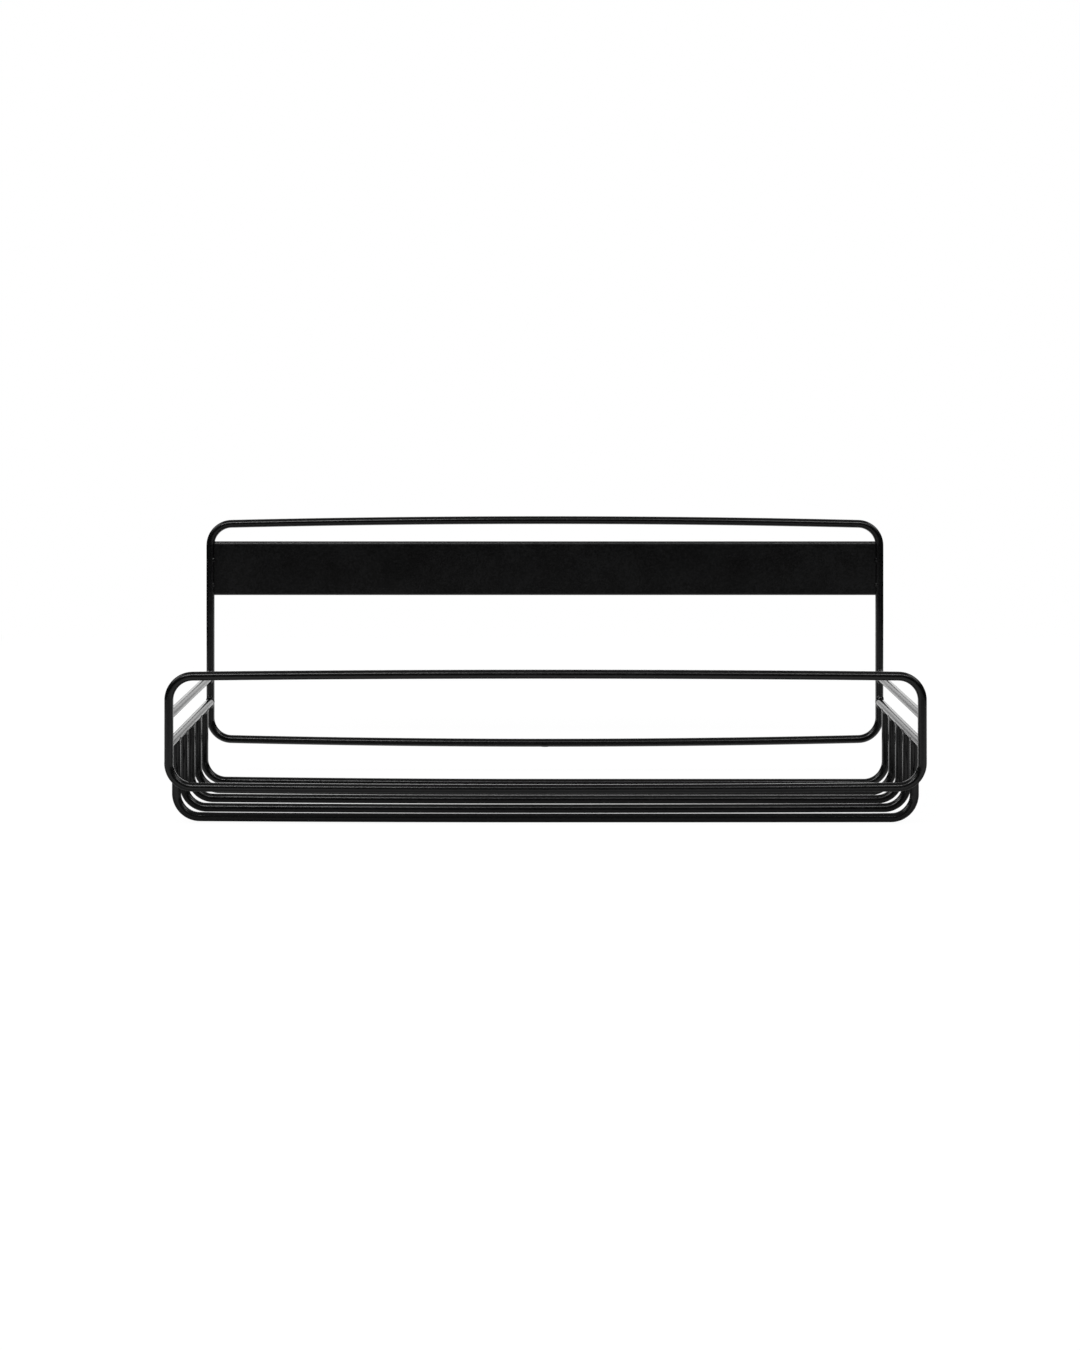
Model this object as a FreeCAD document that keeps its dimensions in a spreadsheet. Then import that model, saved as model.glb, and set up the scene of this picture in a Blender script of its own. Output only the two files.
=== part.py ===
import FreeCAD, Part
import math
import os
import Sketcher

# A welded wire wall shelf: two bent wire loops joined by side rails, with bent base wires
# slung under the lower rails and a flat bar across the back frame that bears on the wall.
# Millimetres, +Z up, the front faces -Y, and the origin is on the surface that the base
# wires stand on, under the middle of the shelf.

# Driving sizes: name, value, what it measures. Heights run between wire centre lines.
SIZES = (
    ("shelf_width", 440.0, "outside width of the loops and the base wires"),
    ("loop_spacing", 120.0, "front loop's plane to the back frame's plane"),
    ("wire_dia", 5.0, "diameter of every wire"),
    ("bend_radius", 14.0, "radius of every bend at the wire's centre line"),
    ("front_rise", 64.0, "front loop's height at its corners"),
    ("back_rise", 140.0, "back frame's height at its corners"),
    ("front_bow", 1.2, "how far the front loop's long runs bow out at mid width"),
    ("back_bow", 2.5, "how far the back frame's long runs bow out at mid width"),
    ("base_drop", 23.5, "lower corners of the loops down to the base wires"),
    ("lower_rail_rise", 24.5, "lower corners of the loops up to the lower rails"),
    ("rail_spacing", 16.5, "lower rails up to the upper rails"),
    ("bar_height", 35.0, "height of the flat bar"),
    ("bar_thickness", 3.0, "thickness of the flat bar, whose long edges are rolled round"),
    ("hanging_gap", 9.0, "bar's top edge up to the underside of the top wire's corners"),
    ("weld_gap", 0.3, "weld metal between a cut end and the wire that it meets"),
    ("weld_bulge", 0.7, "height of a bead over the sides of the wires that it joins"),
    ("seam_bulge", 0.2, "height of the ground seam that closes a loop"),
)
BASE_WIRE_COUNT = 5
SIDES = (("left", -1), ("right", 1))
# A bead's poles point away from the wires, so that its seam crosses no joint.
BEAD_TURN = FreeCAD.Rotation(FreeCAD.Vector(1, 2, 3), 40)

# Places worked out from the sizes, as expressions on the sheet.
WIRE_RADIUS = "(sizes.wire_dia / 2)"
SIDE_X = "((sizes.shelf_width - sizes.wire_dia) / 2)"
BEND_X = f"({SIDE_X} - sizes.bend_radius)"
BASE_Z = WIRE_RADIUS
LOOP_Z = f"({BASE_Z} + sizes.base_drop)"
LOWER_RAIL_Z = f"({LOOP_Z} + sizes.lower_rail_rise)"
UPPER_RAIL_Z = f"({LOWER_RAIL_Z} + sizes.rail_spacing)"
BACK_TOP_Z = f"({LOOP_Z} + sizes.back_rise)"
FRONT_Y = "(-sizes.loop_spacing / 2)"
BACK_Y = "(sizes.loop_spacing / 2)"
BASE_PITCH = f"(sizes.loop_spacing / {BASE_WIRE_COUNT + 1})"
JOINT_REACH = f"({WIRE_RADIUS} + sizes.weld_gap)"
BAR_TOP_Z = f"({BACK_TOP_Z} - {WIRE_RADIUS} - sizes.hanging_gap)"
BAR_BOTTOM_Z = f"({BAR_TOP_Z} - sizes.bar_height)"
BAR_END_X = f"({SIDE_X} - {JOINT_REACH})"
WALL_Y = f"({BACK_Y} + {WIRE_RADIUS})"
BAR_FRONT_Y = f"({WALL_Y} - sizes.bar_thickness)"
BAR_EDGE_RADIUS = "(sizes.bar_thickness / 2)"
BAR_FLAT_HEIGHT = "(sizes.bar_height - sizes.bar_thickness)"

doc = FreeCAD.newDocument("wire_shelf")
sheet = doc.addObject("Spreadsheet::Sheet", "sizes")
for row, (alias, value, meaning) in enumerate(SIZES, start=1):
    sheet.set(f"A{row}", meaning)
    sheet.set(f"B{row}", str(value))
    sheet.setAlias(f"B{row}", alias)
doc.recompute()
sub_parts = []


def number(expression):
    """The present value of an expression in the sheet's sizes."""
    return float(sheet.evalExpression(expression))


def finish(piece, label):
    """Labels a piece of the shelf and lists it among the sub-parts."""
    piece.Label = label
    sub_parts.append(piece)
    return piece


def place(piece, **places):
    """Binds the placement of a piece to expressions."""
    for axis, expression in places.items():
        piece.setExpression(f"Placement.Base.{axis}", expression)


def sketch_on(body, name, role, offset=None):
    """A sketch on one of the body's origin planes, moved along its normal."""
    plane = next(item for item in body.Origin.OriginFeatures if item.Role == role)
    sketch = body.newObject("Sketcher::SketchObject", name)
    sketch.AttachmentSupport = [(plane, "")]
    sketch.MapMode = "FlatFace"
    if offset:
        sketch.setExpression("AttachmentOffset.Base.z", offset)
    return sketch


def add_line(sketch, start, end):
    """A straight run of a sketch between two points."""
    points = [FreeCAD.Vector(*point) for point in (start, end)]
    return sketch.addGeometry(Part.LineSegment(*points), False)


def add_arc(sketch, centre, radius, start, end):
    """An arc of a sketch, anticlockwise between two angles in degrees."""
    circle = Part.Circle(FreeCAD.Vector(*centre), FreeCAD.Vector(0, 0, 1), radius)
    arc = Part.ArcOfCircle(circle, math.radians(start), math.radians(end))
    return sketch.addGeometry(arc, False)


def constrain(sketch, kind, *where):
    """A geometric constraint between elements of a sketch."""
    return sketch.addConstraint(Sketcher.Constraint(kind, *where))


def dimension(sketch, name, expression, kind, *where):
    """A driving dimension of a sketch, bound to an expression."""
    index = constrain(sketch, kind, *where, number(expression))
    sketch.renameConstraint(index, name)
    sketch.setExpression(f"Constraints.{name}", expression)


def bend_wire(body, path, role, offset, centre_x, centre_y):
    """Sweeps the round wire along a path from a section on an origin plane."""
    section = sketch_on(body, "section", role, offset)
    centre = FreeCAD.Vector(number(centre_x), number(centre_y), 0)
    normal = FreeCAD.Vector(0, 0, 1)
    circle = section.addGeometry(Part.Circle(centre, normal, number(WIRE_RADIUS)), False)
    dimension(section, "wire_radius", WIRE_RADIUS, "Radius", circle)
    dimension(section, "centre_x", centre_x, "DistanceX", -1, 1, circle, 3)
    dimension(section, "centre_y", centre_y, "DistanceY", -1, 1, circle, 3)
    pipe = body.newObject("PartDesign::AdditivePipe", "wire")
    pipe.Profile = section
    pipe.Spine = path


def closed_loop(label, plane_y, rise, bow):
    """A rounded wire rectangle with bowed long runs, open by the seam at its lowest point."""
    body = doc.addObject("PartDesign::Body", label)
    place(body, y=plane_y, z=LOOP_Z)
    path = sketch_on(body, "path", "XZ_Plane")
    top_bend = f"({rise} - sizes.bend_radius)"
    bow_offset = f"(({BEND_X} ^ 2 + {bow} ^ 2) / (2 * {bow}))"
    bow_radius = f"(sizes.bend_radius + {bow_offset})"

    side, bend, low, high = (number(item) for item in (SIDE_X, BEND_X, "sizes.bend_radius", top_bend))
    sweep = math.degrees(math.asin(bend / number(bow_offset)))
    middle = number(bow_offset) - number(bow)
    seam = math.degrees(number("sizes.weld_gap") / 2 / number(bow_radius))

    low_left = add_arc(path, (0, low + middle), number(bow_radius), 270 - sweep, 270 - seam)
    bend_low_left = add_arc(path, (-bend, low), low, 180, 270 - sweep)
    left = add_line(path, (-side, low), (-side, high))
    bend_top_left = add_arc(path, (-bend, high), low, 90 + sweep, 180)
    top = add_arc(path, (0, high - middle), number(bow_radius), 90 - sweep, 90 + sweep)
    bend_top_right = add_arc(path, (bend, high), low, 0, 90 - sweep)
    right = add_line(path, (side, high), (side, low))
    bend_low_right = add_arc(path, (bend, low), low, 270 + sweep, 360)
    low_right = add_arc(path, (0, low + middle), number(bow_radius), 270 + seam, 270 + sweep)

    for first, first_end, second, second_end in (
        (low_left, 1, bend_low_left, 2),
        (bend_low_left, 1, left, 1),
        (left, 2, bend_top_left, 2),
        (bend_top_left, 1, top, 2),
        (top, 1, bend_top_right, 2),
        (bend_top_right, 1, right, 1),
        (right, 2, bend_low_right, 2),
        (bend_low_right, 1, low_right, 2),
    ):
        constrain(path, "Tangent", first, first_end, second, second_end)
    constrain(path, "Vertical", left)
    for other in (bend_top_left, bend_top_right, bend_low_right):
        constrain(path, "Equal", bend_low_left, other)
    constrain(path, "Equal", top, low_left)
    constrain(path, "Equal", top, low_right)
    constrain(path, "Coincident", low_left, 3, low_right, 3)
    constrain(path, "Symmetric", bend_top_left, 3, bend_top_right, 3, -2)
    constrain(path, "Symmetric", bend_low_left, 3, bend_low_right, 3, -2)
    dimension(path, "bend", "sizes.bend_radius", "Radius", bend_low_left)
    dimension(path, "bow", bow_radius, "Radius", top)
    dimension(path, "half_width", SIDE_X, "DistanceX", left, 1, -1, 1)
    dimension(path, "low_bend", "sizes.bend_radius", "DistanceY", -1, 1, bend_low_left, 3)
    dimension(path, "top_bend", top_bend, "DistanceY", -1, 1, bend_top_left, 3)
    dimension(path, "seam_left", "sizes.weld_gap / 2", "DistanceX", low_left, 2, -1, 1)
    dimension(path, "seam_right", "sizes.weld_gap / 2", "DistanceX", -1, 1, low_right, 1)
    bend_wire(body, path, "XY_Plane", f"{rise} / 2", f"-{SIDE_X}", "0")
    return finish(body, label)


def base_wire(place_in_row):
    """One bent base wire, whose square-cut ends stand under the lower rails."""
    body = doc.addObject("PartDesign::Body", f"base_wire_{place_in_row}")
    place(body, y=f"{FRONT_Y} + {place_in_row} * {BASE_PITCH}", z=BASE_Z)
    path = sketch_on(body, "path", "XZ_Plane")
    leg_top = f"({LOWER_RAIL_Z} - {JOINT_REACH} - {BASE_Z})"
    side, bend, low, high = (number(item) for item in (SIDE_X, BEND_X, "sizes.bend_radius", leg_top))

    left = add_line(path, (-side, high), (-side, low))
    bend_left = add_arc(path, (-bend, low), low, 180, 270)
    run = add_line(path, (-bend, 0), (bend, 0))
    bend_right = add_arc(path, (bend, low), low, 270, 360)
    right = add_line(path, (side, low), (side, high))

    constrain(path, "Tangent", left, 2, bend_left, 1)
    constrain(path, "Tangent", bend_left, 2, run, 1)
    constrain(path, "Tangent", run, 2, bend_right, 1)
    constrain(path, "Tangent", bend_right, 2, right, 1)
    constrain(path, "Vertical", left)
    constrain(path, "Vertical", right)
    constrain(path, "Horizontal", run)
    constrain(path, "PointOnObject", run, 1, -1)
    constrain(path, "Equal", bend_left, bend_right)
    constrain(path, "Symmetric", left, 1, right, 2, -2)
    dimension(path, "bend", "sizes.bend_radius", "Radius", bend_left)
    dimension(path, "half_width", SIDE_X, "DistanceX", left, 1, -1, 1)
    dimension(path, "leg_top", leg_top, "DistanceY", -1, 1, left, 1)
    bend_wire(body, path, "XY_Plane", leg_top, f"-{SIDE_X}", "0")
    return finish(body, body.Label)


def rail(label, sign, height):
    """A straight rail between the front loop and the back frame, cut square at both ends."""
    rod = doc.addObject("Part::Cylinder", label)
    rod.Placement.Rotation = FreeCAD.Rotation(FreeCAD.Vector(1, 0, 0), -90)
    rod.setExpression("Radius", WIRE_RADIUS)
    rod.setExpression("Height", f"{BACK_Y} - {FRONT_Y} - 2 * {JOINT_REACH}")
    place(rod, x=f"{sign} * {SIDE_X}", y=f"{FRONT_Y} + {JOINT_REACH}", z=height)
    return finish(rod, label)


def wall_bar():
    """The flat bar between the back frame's side wires, flush with them on the wall side."""
    body = doc.addObject("PartDesign::Body", "wall_bar")
    place(body, y=f"{BAR_FRONT_Y} + {BAR_EDGE_RADIUS}", z=f"{BAR_BOTTOM_Z} + {BAR_EDGE_RADIUS}")
    section = sketch_on(body, "section", "YZ_Plane")
    edge, flat = number(BAR_EDGE_RADIUS), number(BAR_FLAT_HEIGHT)
    front = add_line(section, (-edge, flat), (-edge, 0))
    lower = add_arc(section, (0, 0), edge, 180, 360)
    rear = add_line(section, (edge, 0), (edge, flat))
    upper = add_arc(section, (0, flat), edge, 0, 180)
    constrain(section, "Tangent", front, 2, lower, 1)
    constrain(section, "Tangent", lower, 2, rear, 1)
    constrain(section, "Tangent", rear, 2, upper, 1)
    constrain(section, "Tangent", upper, 2, front, 1)
    constrain(section, "Vertical", rear)
    constrain(section, "Coincident", lower, 3, -1, 1)
    dimension(section, "edge_radius", BAR_EDGE_RADIUS, "Radius", lower)
    dimension(section, "flat_height", BAR_FLAT_HEIGHT, "DistanceY", rear, 1, rear, 2)
    bar = body.newObject("PartDesign::Pad", "bar")
    bar.Profile = section
    bar.Midplane = True
    bar.setExpression("Length", f"2 * {BAR_END_X}")
    return finish(body, "wall_bar")


def bead(name, bulge, **places):
    """A drop of weld metal, before the wires that it joins are taken out of it."""
    drop = doc.addObject("Part::Sphere", name)
    drop.Placement.Rotation = BEAD_TURN
    drop.setExpression("Radius", f"{WIRE_RADIUS} + {bulge}")
    place(drop, **places)
    return drop


def welds(label, beads, wires):
    """The beads of one row of joints, shaped round the wires that they join."""
    metal, joined = (doc.addObject("Part::Compound", f"{label}_{item}") for item in ("beads", "wires"))
    metal.Links = beads
    joined.Links = wires
    row_of_welds = doc.addObject("Part::Cut", label)
    row_of_welds.Base = metal
    row_of_welds.Tool = joined
    return finish(row_of_welds, label)


def rail_welds(label, side, loop, joint_y):
    """The beads between one side's two rails and the upright wire of a loop."""
    side_name, sign = side
    beads = []
    for level, height in (("lower", LOWER_RAIL_Z), ("upper", UPPER_RAIL_Z)):
        joint = {"x": f"{sign} * {SIDE_X}", "y": joint_y, "z": height}
        beads.append(bead(f"{label}_{level}", "sizes.weld_bulge", **joint))
    return welds(label, beads, [loop, rails["lower", side_name], rails["upper", side_name]])


def base_welds(side):
    """The beads between one side's lower rail and the ends of the base wires."""
    side_name, sign = side
    label = f"base_wire_welds_{side_name}"
    beads = []
    for place_in_row in range(1, BASE_WIRE_COUNT + 1):
        joint = {
            "x": f"{sign} * {SIDE_X}",
            "y": f"{FRONT_Y} + {place_in_row} * {BASE_PITCH}",
            "z": f"{LOWER_RAIL_Z} - {WIRE_RADIUS}",
        }
        beads.append(bead(f"{label}_{place_in_row}", "sizes.weld_bulge", **joint))
    return welds(label, beads, [rails["lower", side_name], *base_wires])


def loop_seam(label, loop, plane_y, bow):
    """The ground weld that closes a loop at the middle of its lower run."""
    lowest = {"y": plane_y, "z": f"{LOOP_Z} - {bow}"}
    seam = bead(f"{label}_bead", "sizes.seam_bulge", **lowest)
    return welds(label, [seam], [loop])


def bar_weld(side):
    """The weld that fills the groove between the bar's end and the round side wire."""
    side_name, sign = side
    label = f"bar_weld_{side_name}"
    fill = doc.addObject("Part::Box", f"{label}_fill")
    fill.setExpression("Length", JOINT_REACH)
    fill.setExpression("Width", "sizes.bar_thickness - 2 * sizes.weld_gap")
    fill.setExpression("Height", BAR_FLAT_HEIGHT)
    start_x = f"-{SIDE_X}" if sign < 0 else BAR_END_X
    place(
        fill,
        x=start_x,
        y=f"{BAR_FRONT_Y} + sizes.weld_gap",
        z=f"{BAR_BOTTOM_Z} + {BAR_EDGE_RADIUS}",
    )
    return welds(label, [fill], [back_frame])


front_loop = closed_loop("front_loop", FRONT_Y, "sizes.front_rise", "sizes.front_bow")
back_frame = closed_loop("back_frame", BACK_Y, "sizes.back_rise", "sizes.back_bow")
wall_bar()
rails = {}
for level_name, level_z in (("lower", LOWER_RAIL_Z), ("upper", UPPER_RAIL_Z)):
    for side_word, side_sign in SIDES:
        rails[level_name, side_word] = rail(f"{level_name}_rail_{side_word}", side_sign, level_z)
base_wires = [base_wire(place_in_row) for place_in_row in range(1, BASE_WIRE_COUNT + 1)]
for shelf_side in SIDES:
    rail_welds(f"front_rail_welds_{shelf_side[0]}", shelf_side, front_loop, f"{FRONT_Y} + {WIRE_RADIUS}")
    rail_welds(f"back_rail_welds_{shelf_side[0]}", shelf_side, back_frame, f"{BACK_Y} - {WIRE_RADIUS}")
    base_welds(shelf_side)
    bar_weld(shelf_side)
loop_seam("front_loop_seam", front_loop, FRONT_Y, "sizes.front_bow")
loop_seam("back_frame_seam", back_frame, BACK_Y, "sizes.back_bow")

doc.recompute()
for item in doc.Objects:
    if "Invalid" in item.State or "Error" in item.State:
        raise RuntimeError(f"{item.Label} failed: {item.State}")
for piece in sub_parts:
    if piece.Shape.isNull() or not piece.Shape.isValid():
        raise RuntimeError(f"{piece.Label} has no valid shape")
os.makedirs("parts", exist_ok=True)
for piece in sub_parts:
    piece.Shape.exportStep(os.path.join("parts", f"{piece.Label}.step"))
    print(f"{piece.Label}: {len(piece.Shape.Solids)} solids, {piece.Shape.Volume:.1f} mm3")
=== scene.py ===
import math

import bmesh
import bpy
from mathutils import Matrix, Vector, noise


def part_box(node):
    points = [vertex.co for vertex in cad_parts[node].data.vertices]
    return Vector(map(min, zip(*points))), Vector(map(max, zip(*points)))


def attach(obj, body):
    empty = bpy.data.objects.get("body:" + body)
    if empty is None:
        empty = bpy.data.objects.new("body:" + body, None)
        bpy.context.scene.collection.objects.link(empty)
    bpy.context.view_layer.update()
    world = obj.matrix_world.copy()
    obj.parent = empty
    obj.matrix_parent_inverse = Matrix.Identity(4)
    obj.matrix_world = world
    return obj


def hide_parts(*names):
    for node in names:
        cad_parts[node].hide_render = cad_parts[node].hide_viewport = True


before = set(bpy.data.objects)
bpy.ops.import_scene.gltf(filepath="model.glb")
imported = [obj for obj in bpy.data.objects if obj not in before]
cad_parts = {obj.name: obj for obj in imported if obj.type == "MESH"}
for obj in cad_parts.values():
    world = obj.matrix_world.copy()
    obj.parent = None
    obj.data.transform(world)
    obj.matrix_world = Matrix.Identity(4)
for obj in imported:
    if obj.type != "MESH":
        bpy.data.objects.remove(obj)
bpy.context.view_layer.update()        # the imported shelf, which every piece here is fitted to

# A welded wire wall shelf in satin black powder coat, standing on a white sweep.
# Metres, +Z up, the front faces -Y.

# Wire sizes that the node boxes do not give. The wires are drawn 0.1 mm fuller all round than
# the solids, to the photo, and their bowed runs are kept back so that they stay in the solids' box.
WIRE_RADIUS = 0.0025
BEND_RADIUS = 0.014
FRONT_BOW = 0.0012
BACK_BOW = 0.0025
DRAWN_RADIUS = 0.0026
CREST_ROOM = 0.00012
# How far each base wire's run lies above the floor at its left end, middle and right end
BASE_LIFTS = {
    "base_wire_1": (0.0007, 0.0, 0.0001),
    "base_wire_2": (0.0008, 0.0, 0.0005),
    "base_wire_3": (0.0011, 0.0002, 0.0003),
    "base_wire_4": (0.0014, 0.0002, 0.0001),
    "base_wire_5": (0.0014, 0.0, 0.0),
}

# How finely the round forms are drawn
WIRE_SIDES = 32
BEND_STEPS = 18
BOW_STEPS = 40
RUN_STEP = 0.008
MERGE_GAP = 0.00005

# Weld beads: reach along the wire that carries the joint, along the wire that ends there,
# height over the sides, and how deep the bead's root lies in the metal
FRONT_BEAD = {"host_leg": 0.0022, "branch_leg": 0.0018, "side_height": 0.0}
BACK_BEAD = {"host_leg": 0.0024, "branch_leg": 0.0018, "side_height": 0.0004}
BASE_BEAD = {"host_leg": 0.0015, "branch_leg": 0.0014, "side_height": 0.0003}
SIDE_LEG = 0.0019
SIDE_ROOT = 0.0008
BEAD_ROOT = 0.0004
BEAD_SIDES = 20
BEAD_STEPS = 72
BEAD_RIPPLES = 15
RIPPLE_SHARE = 0.05
LUMP_SHARE = 0.22
CROTCH_SOFT_SHARE = 0.35
CROWN_POWER = 1.45
BEAD_NOISE_SPREAD = 1000
LUMPS_ROUND = 1.3

# Ground seams that close the two loops
SEAM_LENGTH = 0.0046
SEAM_HEIGHT = 0.0001
SEAM_RINGS = 12
SEAM_LUMP_SHARE = 0.5
SEAM_LUMPS_PER_METRE = 700
SEAM_SINK_SHARE = 0.3

# The flat bar, whose upper edge is rolled further down, and the welds at its ends
BAR_EDGE = 0.00145
BAR_EDGE_SEGMENTS = 16
BAR_TOP_ROLL = 2.3
BAR_END_REACH = 0.0003
FLAT_FACING = 0.9999
BAR_BEAD_HALF_WIDTH = 0.0015
BAR_BEAD_HALF_DEPTH = 0.0010
BAR_BEAD_BELOW_WALL = 0.0002
BAR_BEAD_INSET = 0.0012
BAR_BEAD_RIPPLE = 0.0011
BAR_BEAD_RIPPLE_STEPS = 4
BAR_BEAD_RIPPLE_SHARE = 0.1
BAR_BEAD_LUMP_SHARE = 0.08
BAR_BEAD_LUMPS = 9
BAR_BEAD_END_POWER = 20
BAR_BEAD_END_SHARE = 0.05
TACK_RADII = Vector((0.0013, 0.0010, 0.0016))
TACK_SHIFT = Vector((0.0009, -0.0006, 0))
TACK_HEIGHT_SHARES = (0.2, 0.66)
TACK_SUBDIVISIONS = 4
TACK_LUMP_SHARE = 0.25
TACK_LUMPS_PER_METRE = 900

# The powder coat: the size of its orange peel, how much finer its grit is, and its slow clouds
PEEL_SIZE = 0.0008
PEEL_DETAIL = 1.0
GRIT_FINENESS = 3
CLOUDS_PER_METRE = 45.0
CLOUD_DETAIL = 3.0
# What the clouds and the peel give to the tone, where it turns from dark to light, and by how much
TONE_FROM_CLOUDS = 0.3
TONE_FROM_PEEL = 0.7
TONE_TURN = (0.44, 0.62)
DARK_TONE = 0.05
LIGHT_TONE = 2.4
# What the peel, the grit and the clouds give to the relief and to the roughness
RELIEF_FROM_PEEL = 0.85
RELIEF_FROM_GRIT = 0.15
ROUGHNESS_FROM_CLOUDS = 0.08
ROUGHNESS_FROM_GRIT = 0.12
# The coat on the wires and beads, and on the bar, which is a little duller
WIRE_TINT = (0.004, 0.004, 0.0043)
WIRE_PEEL_DEPTH = 0.00003
WIRE_ROUGHNESS = 0.08
BAR_TINT = (0.005, 0.005, 0.0053)
BAR_PEEL_DEPTH = 0.00005
BAR_ROUGHNESS = 0.18

# The picture is taken to be 1080 by 1350 pixels. The camera is level, and the lens is shifted
# down so that the horizon lies above the shelf.
IMAGE_HEIGHT = 1350
HORIZON_PIXEL = 360.5
LENS_PIXELS = 1642
SENSOR_MM = 36
CAMERA_PLACE = Vector((-0.0032, -1.008, 0.2722))

# The floor and the light, where a level of 1 is white
FLOOR_HALF = 0.6
FLOOR_WHITE = 1.35
FLOOR_WHITE_SHARE = 0.7
FLOOR_MATT = (0.42, 0.42, 0.42, 1)
# Painted light on the floor, seen only in the coat's reflections: a painted pool of light in front of the
# shelf that fades out before its foot, and a white strip behind it. Where each begins and ends in depth,
# and its share
PAINTED_POOL_START = (-0.35, -0.17)
PAINTED_POOL_END = (-0.12, -0.06)
PAINTED_POOL_SHARE = 0.22
BACK_STRIP_START = (-0.02, 0.15)
BACK_STRIP_SHARE = 0.9
# The room's light by direction: a ceiling, a panel behind the shelf and a wing high on each side
ROOM_LEVEL = 0.03
CEILING_LEVEL = 0.15
CEILING_START = (0.1, 0.6)
PANEL_LEVEL = 1.8
PANEL_START = (0.2, 0.5)
PANEL_SIDE_END = (0.24, 0.34)
PANEL_TOP_END = (0.4, 0.6)
WING_LEVEL = 1.5
WING_FRONT_START = (-0.4, -0.1)
WING_BACK_END = (0.3, 0.5)
WING_SIDE_START = (0.5, 0.65)
WING_LOW_START = (0.35, 0.6)

# The softboxes over the front: place along the width, length and watts of each. They share their
# height, their place in depth and above the floor, and the way that they face.
SOFTBOXES = {
    "left_softbox": (-0.58, 0.86, 4.0),
    "middle_softbox": (0.075, 0.45, 0.55),
    "right_softbox": (0.65, 0.7, 2.4),
}
SOFTBOX_HEIGHT = 0.2
SOFTBOX_PLACE = (-0.93, 1.03)
SOFTBOX_AIM = Vector((0, 0.93, -0.98))

X_AXIS = Vector((1, 0, 0))
Y_AXIS = Vector((0, 1, 0))
Z_AXIS = Vector((0, 0, 1))
ORIGIN = Vector((0, 0, 0))


class Socket:
    """A shader socket that can stand in a sum. Each sum adds its Math node."""

    def __init__(self, tree, output=None):
        self.tree = tree
        self.output = output

    def node(self, kind, settings, inputs, result=0):
        """Adds a node: its settings first, then the values or links of its inputs."""
        made = self.tree.nodes.new(kind)
        for setting, value in settings.items():
            setattr(made, setting, value)
        for place, value in inputs.items():
            if isinstance(value, Socket):
                self.tree.links.new(value.output, made.inputs[place])
            else:
                made.inputs[place].default_value = value
        return Socket(self.tree, made.outputs[result])

    def maths(self, operation, first, second):
        return self.node("ShaderNodeMath", {"operation": operation}, {0: first, 1: second})

    def __add__(self, other):
        return self.maths("ADD", self, other)

    def __radd__(self, other):
        return self.maths("ADD", other, self)

    def __sub__(self, other):
        return self.maths("SUBTRACT", self, other)

    def __rsub__(self, other):
        return self.maths("SUBTRACT", other, self)

    def __mul__(self, other):
        return self.maths("MULTIPLY", self, other)

    def __rmul__(self, other):
        return self.maths("MULTIPLY", other, self)

    def __abs__(self):
        return self.node("ShaderNodeMath", {"operation": "ABSOLUTE"}, {0: self})

    def between(self, low, high):
        """A smooth step from 0 at low to 1 at high."""
        ends = {"Value": self, "From Min": low, "From Max": high}
        return self.node("ShaderNodeMapRange", {"interpolation_type": "SMOOTHSTEP"}, ends)


def powder_coat(name, tint, peel_depth, least_roughness):
    """Satin black powder coat: a fine orange peel in relief and tone, and slow changes of gloss."""
    coat = bpy.data.materials.new(name)
    coat.use_nodes = True
    tree = coat.node_tree
    shader = tree.nodes["Principled BSDF"]
    start = Socket(tree)
    place = start.node("ShaderNodeTexCoord", {}, {}, "Object")

    def noise_of(scale, detail):
        inputs = {"Vector": place, "Scale": scale, "Detail": detail}
        return start.node("ShaderNodeTexNoise", {}, inputs)

    peel = noise_of(1 / PEEL_SIZE, PEEL_DETAIL)
    grit = noise_of(GRIT_FINENESS / PEEL_SIZE, 0.0)
    clouds = noise_of(CLOUDS_PER_METRE, CLOUD_DETAIL)
    tone = clouds * TONE_FROM_CLOUDS + peel * TONE_FROM_PEEL
    colour = start.node(
        "ShaderNodeMix",
        {"data_type": "RGBA"},
        {
            "Factor": tone.between(*TONE_TURN),
            "A": (*[part * DARK_TONE for part in tint], 1),
            "B": (*[part * LIGHT_TONE for part in tint], 1),
        },
        "Result",
    )
    height = peel * RELIEF_FROM_PEEL + grit * RELIEF_FROM_GRIT
    relief = start.node("ShaderNodeBump", {}, {"Strength": 1.0, "Distance": peel_depth, "Height": height})
    roughness = least_roughness + clouds * ROUGHNESS_FROM_CLOUDS + grit * ROUGHNESS_FROM_GRIT
    tree.links.new(colour.output, shader.inputs["Base Color"])
    tree.links.new(roughness.output, shader.inputs["Roughness"])
    tree.links.new(relief.output, shader.inputs["Normal"])
    return coat


def middle(node):
    """The middle of a node's box."""
    low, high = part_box(node)
    return (low + high) / 2


def painted_piece(node, bm, coat):
    """Turns a finished mesh into the painted piece that stands for a CAD node."""
    bmesh.ops.recalc_face_normals(bm, faces=bm.faces)
    name = f"painted_{node}"
    mesh = bpy.data.meshes.new(name)
    bm.to_mesh(mesh)
    bm.free()
    mesh.materials.append(coat)
    piece = bpy.data.objects.new(name, mesh)
    bpy.context.scene.collection.objects.link(piece)
    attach(piece, "root")
    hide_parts(node)


def mix(first, second, share):
    """A value on the way from one number to another."""
    return first + (second - first) * share


def smooth(bm):
    """Shades every face of a mesh smooth."""
    for face in bm.faces:
        face.smooth = True


def edges_at(verts):
    """The edges at some vertices, each once and always in the same order."""
    return list(dict.fromkeys(edge for vert in verts for edge in vert.link_edges))


def start_ring(bm, centre, axis, radius=DRAWN_RADIUS, sides=WIRE_SIDES):
    """The first round section of a wire, square to its axis."""
    turn = Z_AXIS.rotation_difference(axis).to_matrix().to_4x4()
    matrix = Matrix.Translation(centre) @ turn
    made = bmesh.ops.create_circle(bm, segments=sides, radius=radius, matrix=matrix)
    return edges_at(made["verts"])


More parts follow.
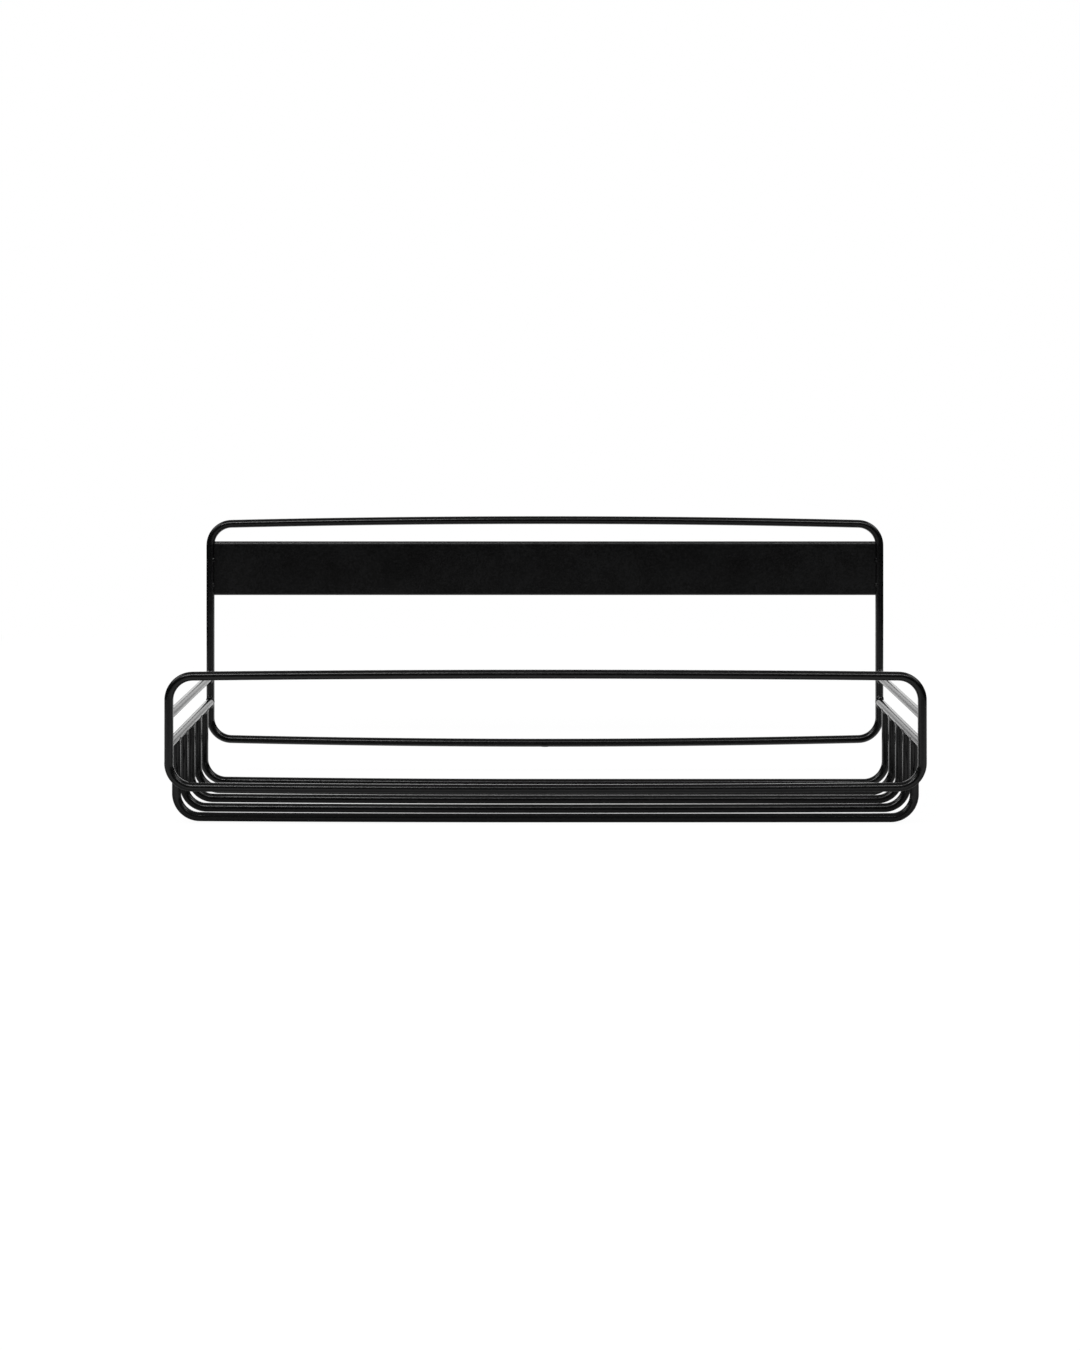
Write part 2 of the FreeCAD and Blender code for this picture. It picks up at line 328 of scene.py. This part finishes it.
def sweep(bm, ring, steps, centre=ORIGIN, axis=Y_AXIS, angle=0.0, step=ORIGIN):
    """Carries a ring on along a straight run or round a bend, and gives the last ring."""
    swept = bmesh.ops.spin(bm, geom=ring, cent=centre, axis=axis, angle=angle, dvec=step, steps=steps)
    smooth(bm)
    return [part for part in swept["geom_last"] if isinstance(part, bmesh.types.BMEdge)]


def straight(bm, ring, way):
    """Carries a ring on along a straight run, in short steps."""
    steps = math.ceil(way.length / RUN_STEP)
    return sweep(bm, ring, steps, step=way / steps)


def ring_verts(ring):
    """The vertices of a ring of edges, each once and always in the same order."""
    return list(dict.fromkeys(vert for edge in ring for vert in edge.verts))


def cap(bm, ring):
    """Closes the end of a wire with a flat face that has a crisp edge."""
    for edge in ring:
        edge.smooth = False
    made = bmesh.ops.edgeloop_fill(bm, edges=ring)
    for face in made["faces"]:
        face.smooth = False


def cope(ring, place, axis):
    """Cuts the end of a wire to sit on a round wire whose centre line is at a place along an axis."""
    verts = ring_verts(ring)
    centre = sum((vert.co for vert in verts), Vector()) / len(verts)
    towards = math.copysign(1, (centre - place).dot(axis))
    for vert in verts:
        aside = vert.co.x - place.x
        reach = math.sqrt(max(WIRE_RADIUS ** 2 - aside ** 2, 0))
        vert.co += axis * (place.dot(axis) + towards * reach - vert.co.dot(axis))


def closed_loop(node, bow):
    """A wire bent to a closed rounded rectangle whose long runs bow out a little."""
    low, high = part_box(node)
    plane_y = middle(node).y
    side_x = high.x - WIRE_RADIUS
    bend_x = side_x - BEND_RADIUS
    low_bend_z = low.z + WIRE_RADIUS + bow + BEND_RADIUS
    top_bend_z = high.z - WIRE_RADIUS - bow - BEND_RADIUS
    crest = bow - CREST_ROOM
    bow_offset = (bend_x ** 2 + crest ** 2) / (2 * crest)
    half_sweep = math.asin(bend_x / bow_offset)
    corner = math.pi / 2 - half_sweep
    rise = Vector((0, 0, top_bend_z - low_bend_z))
    centres = {
        "top_left": Vector((-bend_x, plane_y, top_bend_z)),
        "top": Vector((0, plane_y, top_bend_z - bow_offset + crest)),
        "top_right": Vector((bend_x, plane_y, top_bend_z)),
        "low_right": Vector((bend_x, plane_y, low_bend_z)),
        "low": Vector((0, plane_y, low_bend_z + bow_offset - crest)),
        "low_left": Vector((-bend_x, plane_y, low_bend_z)),
    }
    bm = bmesh.new()
    ring = start_ring(bm, Vector((-side_x, plane_y, low_bend_z)), Z_AXIS)
    ring = straight(bm, ring, rise)
    ring = sweep(bm, ring, BEND_STEPS, centres["top_left"], angle=corner)
    ring = sweep(bm, ring, BOW_STEPS, centres["top"], angle=2 * half_sweep)
    ring = sweep(bm, ring, BEND_STEPS, centres["top_right"], angle=corner)
    ring = straight(bm, ring, -rise)
    ring = sweep(bm, ring, BEND_STEPS, centres["low_right"], angle=corner)
    ring = sweep(bm, ring, BOW_STEPS, centres["low"], angle=2 * half_sweep)
    sweep(bm, ring, BEND_STEPS, centres["low_left"], angle=corner)
    bmesh.ops.remove_doubles(bm, verts=bm.verts, dist=MERGE_GAP)
    painted_piece(node, bm, wire_coat)


def base_wire(node, left_lift, middle_lift, right_lift):
    """A wire bent to a wide U, not dead straight, with its ends coped under the lower rails."""
    low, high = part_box(node)
    wire_y = middle(node).y
    side_x = high.x - WIRE_RADIUS
    bend_x = side_x - BEND_RADIUS
    bend_z = low.z + DRAWN_RADIUS + BEND_RADIUS
    drop = Vector((0, 0, bend_z - high.z))
    bm = bmesh.new()
    first = start_ring(bm, Vector((-side_x, wire_y, high.z)), Z_AXIS)
    ring = straight(bm, first, drop)
    ring = sweep(bm, ring, BEND_STEPS, Vector((-bend_x, wire_y, bend_z)), angle=-math.pi / 2)
    ring = straight(bm, ring, Vector((2 * bend_x, 0, 0)))
    ring = sweep(bm, ring, BEND_STEPS, Vector((bend_x, wire_y, bend_z)), angle=-math.pi / 2)
    last = straight(bm, ring, -drop)
    for vert in bm.verts:
        end_lift = left_lift if vert.co.x < 0 else right_lift
        vert.co.z += mix(middle_lift, end_lift, min(abs(vert.co.x) / bend_x, 1) ** 2)
    for end, side in ((first, "left"), (last, "right")):
        cap(bm, end)
        cope(end, middle(f"lower_rail_{side}"), Z_AXIS)
    painted_piece(node, bm, wire_coat)


def rail(node):
    """A straight wire between the front loop and the back frame, coped to both."""
    low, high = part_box(node)
    centre = middle(node)
    bm = bmesh.new()
    first = start_ring(bm, Vector((centre.x, low.y, centre.z)), Y_AXIS)
    last = straight(bm, first, Vector((0, high.y - low.y, 0)))
    for end, loop in ((first, "front_loop"), (last, "back_frame")):
        cap(bm, end)
        cope(end, Vector((centre.x, middle(loop).y, centre.z)), Y_AXIS)
    painted_piece(node, bm, wire_coat)


def crown(value, reach):
    """One leg of a bead's section: it swells outside the metal and stays shallow inside it."""
    if value < 0:
        return value * BEAD_ROOT
    return value ** CROWN_POWER * reach


def weld_bead(bm, joint, host, branch, host_leg, branch_leg, side_height):
    """A rippled bead round the end of one wire where it meets the side of another."""
    start = Matrix.Translation((WIRE_RADIUS, 0, 0)) @ Matrix.Rotation(math.pi / 2, 4, "X")
    section = bmesh.ops.create_circle(bm, segments=BEAD_SIDES, radius=BEAD_ROOT, matrix=start)
    ring = edges_at(section["verts"])
    before = set(bm.verts) - set(section["verts"])
    bmesh.ops.spin(
        bm, geom=ring, cent=ORIGIN, axis=Z_AXIS, angle=2 * math.pi, steps=BEAD_STEPS, use_merge=True
    )
    verts = [vert for vert in bm.verts if vert not in before]
    seed = joint * BEAD_NOISE_SPREAD
    for vert in verts:
        around = math.atan2(vert.co.y, vert.co.x)
        out = (math.hypot(vert.co.x, vert.co.y) - WIRE_RADIUS) / BEAD_ROOT
        along = vert.co.z / BEAD_ROOT
        crotch = math.sin(around) ** 2
        climb = WIRE_RADIUS * math.sqrt(crotch + CROTCH_SOFT_SHARE ** 2 * (1 - crotch))
        spot = seed + Vector((math.cos(around), math.sin(around), 0)) * LUMPS_ROUND
        ripple = 1 + RIPPLE_SHARE * math.cos(BEAD_RIPPLES * around) + LUMP_SHARE * noise.noise(spot)
        host_reach = mix(side_height, host_leg, crotch ** 2) * ripple
        branch_reach = mix(SIDE_LEG, branch_leg, crotch) * ripple
        behind_reach = mix(SIDE_ROOT, BEAD_ROOT, crotch)
        radius = WIRE_RADIUS + crown(out, host_reach)
        height = crown(along, branch_reach) if along > 0 else along * behind_reach
        vert.co = Vector((radius * math.cos(around), radius * math.sin(around), climb + height))
    turn = Matrix((X_AXIS, host, branch)).transposed().to_4x4()
    bmesh.ops.transform(bm, matrix=Matrix.Translation(joint) @ turn, verts=verts)


def rail_welds(node, loop, side, towards, bead):
    """The beads between one side's two rails and the upright wire of a loop."""
    bm = bmesh.new()
    for level in ("lower", "upper"):
        rail_middle = middle(f"{level}_rail_{side}")
        joint = Vector((rail_middle.x, middle(loop).y, rail_middle.z))
        weld_bead(bm, joint, Z_AXIS, Y_AXIS * towards, **bead)
    smooth(bm)
    painted_piece(node, bm, weld_coat)


def base_welds(node, side):
    """The beads between one side's lower rail and the ends of the base wires."""
    bm = bmesh.new()
    rail_middle = middle(f"lower_rail_{side}")
    for wire in BASE_LIFTS:
        joint = Vector((rail_middle.x, middle(wire).y, rail_middle.z))
        weld_bead(bm, joint, Y_AXIS, -Z_AXIS, **BASE_BEAD)
    smooth(bm)
    painted_piece(node, bm, weld_coat)


def loop_seam(node):
    """The ground butt weld round a loop's lower run, a little proud of the wire."""
    centre = middle(node)
    start = centre - X_AXIS * (SEAM_LENGTH / 2)
    step = X_AXIS * (SEAM_LENGTH / SEAM_RINGS)
    bm = bmesh.new()
    first = start_ring(bm, start, X_AXIS)
    last = sweep(bm, first, SEAM_RINGS, step=step)
    for vert in bm.verts:
        share = (vert.co.x - start.x) / SEAM_LENGTH
        across = vert.co - Vector((vert.co.x, centre.y, centre.z))
        lump = 1 + SEAM_LUMP_SHARE * noise.noise(vert.co * SEAM_LUMPS_PER_METRE)
        proud = SEAM_HEIGHT * (math.sin(math.pi * share) * lump - SEAM_SINK_SHARE)
        vert.co += across.normalized() * proud
    cap(bm, first)
    cap(bm, last)
    painted_piece(node, bm, weld_coat)


def wall_bar(node):
    """The flat bar: its long edges are rolled round, the upper one more, and its ends meet the frame."""
    low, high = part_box(node)
    size = high - low + X_AXIS * 2 * BAR_END_REACH
    matrix = Matrix.Translation(middle(node)) @ Matrix.Diagonal((*size, 1))
    bm = bmesh.new()
    bmesh.ops.create_cube(bm, size=1, matrix=matrix)
    long_edges = [edge for edge in bm.edges if edge.calc_length() > size.z + MERGE_GAP]
    bmesh.ops.bevel(
        bm,
        geom=long_edges,
        offset=BAR_EDGE,
        offset_type="OFFSET",
        affect="EDGES",
        segments=BAR_EDGE_SEGMENTS,
        profile=0.5,
        material=-1,
    )
    for vert in bm.verts:
        depth = high.z - vert.co.z
        if depth < BAR_EDGE + MERGE_GAP:
            vert.co.z = high.z - depth * BAR_TOP_ROLL
    bm.normal_update()
    for face in bm.faces:
        face.smooth = max(abs(face.normal.x), abs(face.normal.y)) < FLAT_FACING
    for edge in bm.edges:
        edge.smooth = all(abs(face.normal.x) < FLAT_FACING for face in edge.link_faces)
    painted_piece(node, bm, bar_coat)


def bar_weld(node, sign):
    """A rippled bead up the groove behind one end of the bar, and two tacks in front."""
    low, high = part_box("wall_bar")
    height = high.z - low.z - 2 * BAR_BEAD_INSET
    steps = round(height / BAR_BEAD_RIPPLE) * BAR_BEAD_RIPPLE_STEPS
    centre_x = sign * (high.x + BAR_BEAD_HALF_WIDTH / 2)
    centre_y = high.y - BAR_BEAD_BELOW_WALL - BAR_BEAD_HALF_DEPTH
    bm = bmesh.new()
    first = start_ring(bm, ORIGIN, Z_AXIS, radius=1, sides=BEAD_SIDES)
    last = sweep(bm, first, steps, step=Z_AXIS / steps)
    for vert in bm.verts:
        share = vert.co.z
        ends = math.sqrt(max(1 - (2 * share - 1) ** BAR_BEAD_END_POWER, BAR_BEAD_END_SHARE))
        ripple = abs(math.cos(math.pi * share * height / BAR_BEAD_RIPPLE))
        lump = noise.noise(Vector((sign, 0, share * BAR_BEAD_LUMPS)))
        swell = ends * (1 - BAR_BEAD_RIPPLE_SHARE * (1 - ripple) + BAR_BEAD_LUMP_SHARE * lump)
        lag = (1 - vert.co.x ** 2) * BAR_BEAD_RIPPLE / 2
        vert.co = Vector(
            (
                centre_x + vert.co.x * BAR_BEAD_HALF_WIDTH * swell,
                centre_y + vert.co.y * BAR_BEAD_HALF_DEPTH * swell,
                low.z + BAR_BEAD_INSET + share * height - lag * ends,
            )
        )
    cap(bm, first)
    cap(bm, last)
    for height_share in TACK_HEIGHT_SHARES:
        spot_x = sign * (high.x + TACK_SHIFT.x)
        spot = Vector((spot_x, low.y + TACK_SHIFT.y, mix(low.z, high.z, height_share)))
        matrix = Matrix.Translation(spot) @ Matrix.Diagonal((*TACK_RADII, 1))
        made = bmesh.ops.create_icosphere(bm, subdivisions=TACK_SUBDIVISIONS, radius=1, matrix=matrix)
        for vert in made["verts"]:
            lump = TACK_LUMP_SHARE * noise.noise(vert.co * TACK_LUMPS_PER_METRE)
            vert.co += (vert.co - spot) * lump
    smooth(bm)
    painted_piece(node, bm, weld_coat)


def white_sweep():
    """The pale floor that the shelf stands on. Mirrored in the coat it is brightest behind the shelf, with
    a painted pool of light in front of it.
    """
    bm = bmesh.new()
    bmesh.ops.create_grid(bm, x_segments=1, y_segments=1, size=FLOOR_HALF)
    mesh = bpy.data.meshes.new("white_sweep")
    bm.to_mesh(mesh)
    bm.free()
    floor = bpy.data.objects.new("white_sweep", mesh)
    bpy.context.scene.collection.objects.link(floor)
    paper = bpy.data.materials.new("white_paper")
    paper.use_nodes = True
    tree = paper.node_tree
    tree.nodes.clear()
    start = Socket(tree)
    seen = start.node("ShaderNodeLightPath", {}, {}, "Is Camera Ray")
    mirrored = start.node("ShaderNodeLightPath", {}, {}, "Is Glossy Ray")
    place = start.node("ShaderNodeTexCoord", {}, {}, "Object")
    depth = start.node("ShaderNodeSeparateXYZ", {}, {"Vector": place}, "Y")
    # Painted pool of light: to glossy rays only, the floor glows white in a strip in front of the shelf.
    # The strip fades out before the shelf's foot, where its shade would fall.
    painted_pool_strip = depth.between(*PAINTED_POOL_START) * (1 - depth.between(*PAINTED_POOL_END))
    back_strip = depth.between(*BACK_STRIP_START)
    strips = painted_pool_strip * PAINTED_POOL_SHARE + back_strip * BACK_STRIP_SHARE
    share = seen * FLOOR_WHITE_SHARE + mirrored * strips
    matt = start.node("ShaderNodeBsdfDiffuse", {}, {"Color": FLOOR_MATT})
    white = start.node("ShaderNodeEmission", {}, {"Color": (1, 1, 1, 1), "Strength": FLOOR_WHITE})
    blend = start.node("ShaderNodeMixShader", {}, {0: share, 1: matt, 2: white})
    output = tree.nodes.new("ShaderNodeOutputMaterial")
    tree.links.new(blend.output, output.inputs["Surface"])
    mesh.materials.append(paper)


def studio_light():
    """A dim room with a white panel behind the shelf and wings beside it, and softboxes over its front."""
    world = bpy.data.worlds.new("studio")
    bpy.context.scene.world = world
    world.use_nodes = True
    tree = world.node_tree
    background = tree.nodes["Background"]
    start = Socket(tree)
    seen = start.node("ShaderNodeLightPath", {}, {}, "Is Camera Ray")
    direction = start.node("ShaderNodeTexCoord", {}, {}, "Generated")
    back = start.node("ShaderNodeSeparateXYZ", {}, {"Vector": direction}, "Y")
    aside = start.node("ShaderNodeSeparateXYZ", {}, {"Vector": direction}, "X")
    up = start.node("ShaderNodeSeparateXYZ", {}, {"Vector": direction}, "Z")
    out = abs(aside)
    ceiling = up.between(*CEILING_START)
    panel_width = 1 - out.between(*PANEL_SIDE_END)
    panel = back.between(*PANEL_START) * panel_width * (1 - up.between(*PANEL_TOP_END))
    beside = back.between(*WING_FRONT_START) * (1 - back.between(*WING_BACK_END))
    wings = beside * out.between(*WING_SIDE_START) * up.between(*WING_LOW_START)
    level = ROOM_LEVEL + ceiling * CEILING_LEVEL + panel * PANEL_LEVEL + wings * WING_LEVEL
    strength = level + seen * (1 - level)
    tree.links.new(strength.output, background.inputs["Strength"])
    background.inputs["Color"].default_value = (1, 1, 1, 1)

    for name, (along, length, watts) in SOFTBOXES.items():
        lamp = bpy.data.lights.new(name, "AREA")
        lamp.shape = "RECTANGLE"
        lamp.size = length
        lamp.size_y = SOFTBOX_HEIGHT
        lamp.energy = watts
        softbox = bpy.data.objects.new(name, lamp)
        softbox.location = (along, *SOFTBOX_PLACE)
        softbox.rotation_euler = SOFTBOX_AIM.to_track_quat("-Z", "Y").to_euler()
        bpy.context.scene.collection.objects.link(softbox)


def photo_camera():
    """A level camera in front of the shelf, its lens shifted down."""
    lens = bpy.data.cameras.new("photo_camera")
    lens.sensor_width = SENSOR_MM
    lens.lens = LENS_PIXELS / IMAGE_HEIGHT * SENSOR_MM
    lens.shift_y = (HORIZON_PIXEL - IMAGE_HEIGHT / 2) / IMAGE_HEIGHT
    camera = bpy.data.objects.new("photo_camera", lens)
    camera.location = CAMERA_PLACE
    camera.rotation_euler = (math.pi / 2, 0, 0)
    bpy.context.scene.collection.objects.link(camera)
    bpy.context.scene.camera = camera


wire_coat = powder_coat("wire_powder_coat", WIRE_TINT, WIRE_PEEL_DEPTH, WIRE_ROUGHNESS)
bar_coat = powder_coat("bar_powder_coat", BAR_TINT, BAR_PEEL_DEPTH, BAR_ROUGHNESS)
weld_coat = powder_coat("weld_powder_coat", WIRE_TINT, WIRE_PEEL_DEPTH, WIRE_ROUGHNESS)

closed_loop("front_loop", FRONT_BOW)
closed_loop("back_frame", BACK_BOW)
wall_bar("wall_bar")
for wire_node, lifts in BASE_LIFTS.items():
    base_wire(wire_node, *lifts)
for side_name, side_sign in (("left", -1), ("right", 1)):
    rail(f"lower_rail_{side_name}")
    rail(f"upper_rail_{side_name}")
    rail_welds(f"front_rail_welds_{side_name}", "front_loop", side_name, 1, FRONT_BEAD)
    rail_welds(f"back_rail_welds_{side_name}", "back_frame", side_name, -1, BACK_BEAD)
    base_welds(f"base_wire_welds_{side_name}", side_name)
    bar_weld(f"bar_weld_{side_name}", side_sign)
loop_seam("front_loop_seam")
loop_seam("back_frame_seam")
white_sweep()
studio_light()
photo_camera()

bpy.context.scene.view_settings.view_transform = "Standard"
